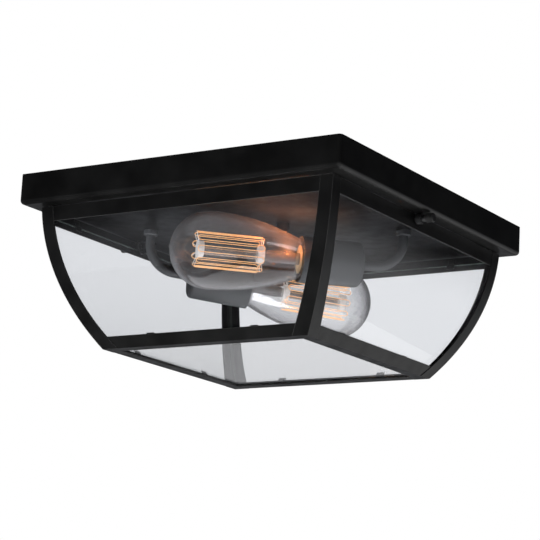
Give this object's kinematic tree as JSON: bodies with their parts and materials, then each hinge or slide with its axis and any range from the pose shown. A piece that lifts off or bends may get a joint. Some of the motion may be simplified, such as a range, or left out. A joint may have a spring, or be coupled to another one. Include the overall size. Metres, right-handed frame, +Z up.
{
  "type": "porch ceiling lantern",
  "caption": "Square flush ceiling lantern: a folded pan, a tapering glass cage clamped by thumbscrews, and bare filament bulbs lying along its diagonal.",
  "frame": {"origin": "middle of the pan's rim, on the ceiling", "axes": "+Z up into the ceiling, +X to the right, -Y to the front"},
  "size_m": [0.308, 0.3048, 0.139],
  "materials": {
    "black_paint": "satin black powder coat, fine grain",
    "grey_paint": "satin charcoal powder coat",
    "zinc_steel": "zinc plated",
    "green_screw": "green earth screw",
    "knurled_steel": "knurled, dull grey",
    "black_nylon": "matt black",
    "white_ceramic": "unglazed white",
    "brass": "plain brass",
    "black_insulator": "fused black insulator",
    "solder": "solder",
    "bulb_glass": "clear thin glass",
    "clear_glass": "clear sheet, faint green at its edges",
    "glowing_filament": "amber filament"
  },
  "bodies": {
    "root": {"ceiling_pan": "black_paint", "lug_left": "black_paint", "lug_right": "black_paint", "cap_nuts": "black_paint", "mounting_crossbar": "zinc_steel", "mounting_studs": "zinc_steel", "arm_nuts": "zinc_steel", "socket_nuts": "zinc_steel", "arm_collars": "grey_paint", "ground_screw": "green_screw", "terminal_screws": "brass", "arm_a": "grey_paint", "socket_cup_a": "grey_paint", "socket_body_a": "white_ceramic", "screw_shell_a": "brass", "centre_contact_a": "brass", "arm_b": "grey_paint", "socket_cup_b": "grey_paint", "socket_body_b": "white_ceramic", "screw_shell_b": "brass", "centre_contact_b": "brass"},
    "cage": {"top_glass_clips": "black_paint", "bottom_glass_clips": "black_paint", "corner_post_front_left": "black_paint", "corner_post_front_right": "black_paint", "corner_post_back_left": "black_paint", "corner_post_back_right": "black_paint", "top_rail_front": "black_paint", "bottom_rail_front": "black_paint", "glass_front": "clear_glass", "top_rail_back": "black_paint", "bottom_rail_back": "black_paint", "glass_back": "clear_glass", "top_rail_left": "black_paint", "bottom_rail_left": "black_paint", "glass_left": "clear_glass", "top_rail_right": "black_paint", "bottom_rail_right": "black_paint", "glass_right": "clear_glass", "glass_bottom": "clear_glass"},
    "thumbscrew_left": {"thumbscrew_left": "knurled_steel", "clamp_bush_left": "black_nylon"},
    "thumbscrew_right": {"thumbscrew_right": "knurled_steel", "clamp_bush_right": "black_nylon"},
    "bulb_a": {"bulb_glass_a": "bulb_glass", "bulb_stem_a": "bulb_glass", "filament_a": "glowing_filament", "filament_support_a": "white_ceramic", "bulb_base_a": "brass", "bulb_insulator_a": "black_insulator", "bulb_tip_a": "solder"},
    "bulb_b": {"bulb_glass_b": "bulb_glass", "bulb_stem_b": "bulb_glass", "filament_b": "glowing_filament", "filament_support_b": "white_ceramic", "bulb_base_b": "brass", "bulb_insulator_b": "black_insulator", "bulb_tip_b": "solder"}
  },
  "joints": [
    {"name": "cage_drop", "type": "slide", "parent": "root", "child": "cage", "axis": [0, 0, -1], "range_m": [0, 0.15]},
    {"name": "thumbscrew_right_turn", "type": "hinge", "parent": "root", "child": "thumbscrew_right", "pos_m": [0.147, -0.0075, -0.0297], "axis": [1, 0, 0], "range_deg": [0, 1080]},
    {"name": "thumbscrew_left_turn", "type": "hinge", "parent": "root", "child": "thumbscrew_left", "pos_m": [-0.147, -0.0075, -0.0297], "axis": [-1, 0, 0], "range_deg": [0, 1080]},
    {"name": "bulb_a_unscrew", "type": "slide", "parent": "root", "child": "bulb_a", "axis": [-0.7071, -0.7071, 0], "range_m": [0, 0.02]},
    {"name": "bulb_b_unscrew", "type": "slide", "parent": "root", "child": "bulb_b", "axis": [0.7048, 0.7048, -0.0802], "range_m": [0, 0.02]}
  ]
}
